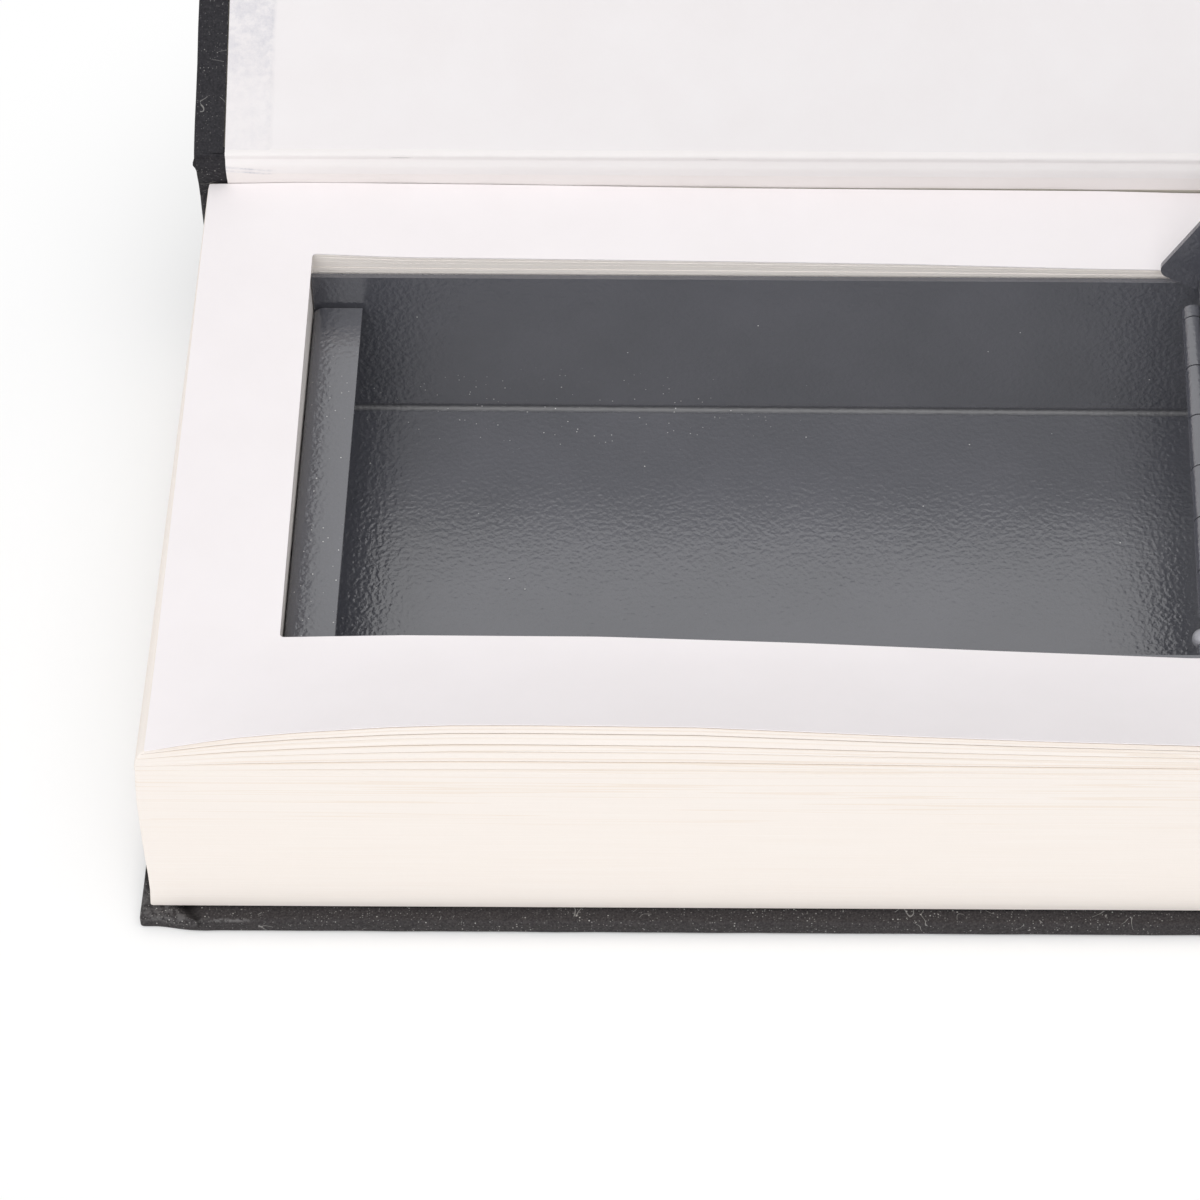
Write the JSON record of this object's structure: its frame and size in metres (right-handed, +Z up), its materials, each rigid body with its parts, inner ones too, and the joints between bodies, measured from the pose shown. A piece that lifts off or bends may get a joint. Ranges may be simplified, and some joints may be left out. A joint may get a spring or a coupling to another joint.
{
  "type": "book diversion safe",
  "caption": "Hollow hardback book that hides a painted steel cash tray with a hinged lid and a number lock, shown open.",
  "frame": {"origin": "centre of the back cover's underside, on the surface the book lies on", "axes": "+X along the spine towards the lid's hinge, +Y towards the spine, +Z up"},
  "size_m": [0.2927, 0.2823, 0.2014],
  "materials": {
    "cover_cloth": "matt black grained leatherette",
    "board": "grey book board",
    "endpaper": "smooth white endpaper",
    "pages": "cream book paper, cut edges",
    "lining": "glued gauze and paper",
    "painted_steel": "semi-gloss grey powder coat, orange peel",
    "plated_steel": "plated steel",
    "dial_plastic": "black moulded plastic"
  },
  "bodies": {
    "book": {"case_cloth": "cover_cloth", "back_board": "board", "spine_board": "board", "back_pastedown": "endpaper", "bottom_pages": "pages", "spine_lining": "lining", "page_section_1": "pages", "page_section_2": "pages", "page_section_3": "pages", "page_section_4": "pages", "page_section_5": "pages", "top_sheet": "endpaper", "tray": "painted_steel", "tray_stud": "plated_steel", "hinge_tray_leaf": "painted_steel", "hinge_pin": "plated_steel", "tray_rivet_1": "painted_steel", "tray_rivet_2": "painted_steel", "tray_rivet_3": "painted_steel"},
    "joint": {"front_joint_cloth": "cover_cloth", "front_joint_endpaper": "endpaper"},
    "front_cover": {"front_cloth": "cover_cloth", "front_board": "board", "front_pastedown": "endpaper"},
    "lid": {"lid_pan": "painted_steel", "hinge_lid_leaf": "painted_steel", "lid_rivet_1": "painted_steel", "lid_rivet_2": "painted_steel", "lid_rivet_3": "painted_steel", "lock_case": "plated_steel", "lock_faceplate": "plated_steel", "dial_axle": "plated_steel", "dial_spring": "plated_steel", "lock_screw_1": "plated_steel", "lock_screw_2": "plated_steel"},
    "bolt": {"lock_bolt": "plated_steel", "slide_button": "dial_plastic"},
    "dial_a": {"dial_1": "dial_plastic"},
    "dial_b": {"dial_2": "dial_plastic"},
    "dial_c": {"dial_3": "dial_plastic"}
  },
  "joints": [
    {"name": "spine_crease", "type": "hinge", "parent": "book", "child": "joint", "pos_m": [0, 0.0754, 0.05105], "axis": [-1, 0, 0], "range_deg": [-73, 30]},
    {"name": "board_crease", "type": "hinge", "parent": "joint", "child": "front_cover", "pos_m": [0, 0.07347, 0.05736], "axis": [-1, 0, 0], "range_deg": [-79, 10]},
    {"name": "lid_hinge", "type": "hinge", "parent": "book", "child": "lid", "pos_m": [0.0863, 0.0035, 0.0457], "axis": [0, 1, 0], "range_deg": [-120, 0]},
    {"name": "bolt_slide", "type": "slide", "parent": "lid", "child": "bolt", "axis": [-0.5, 0, -0.866], "range_m": [-0.006, 0]},
    {"name": "dial_turn_a", "type": "hinge", "parent": "lid", "child": "dial_a", "pos_m": [0.16078, -0.0029, 0.17971], "axis": [0, 1, 0], "continuous": true},
    {"name": "dial_turn_b", "type": "hinge", "parent": "lid", "child": "dial_b", "pos_m": [0.16078, 0.0035, 0.17971], "axis": [0, 1, 0], "continuous": true},
    {"name": "dial_turn_c", "type": "hinge", "parent": "lid", "child": "dial_c", "pos_m": [0.16078, 0.0099, 0.17971], "axis": [0, 1, 0], "continuous": true}
  ]
}
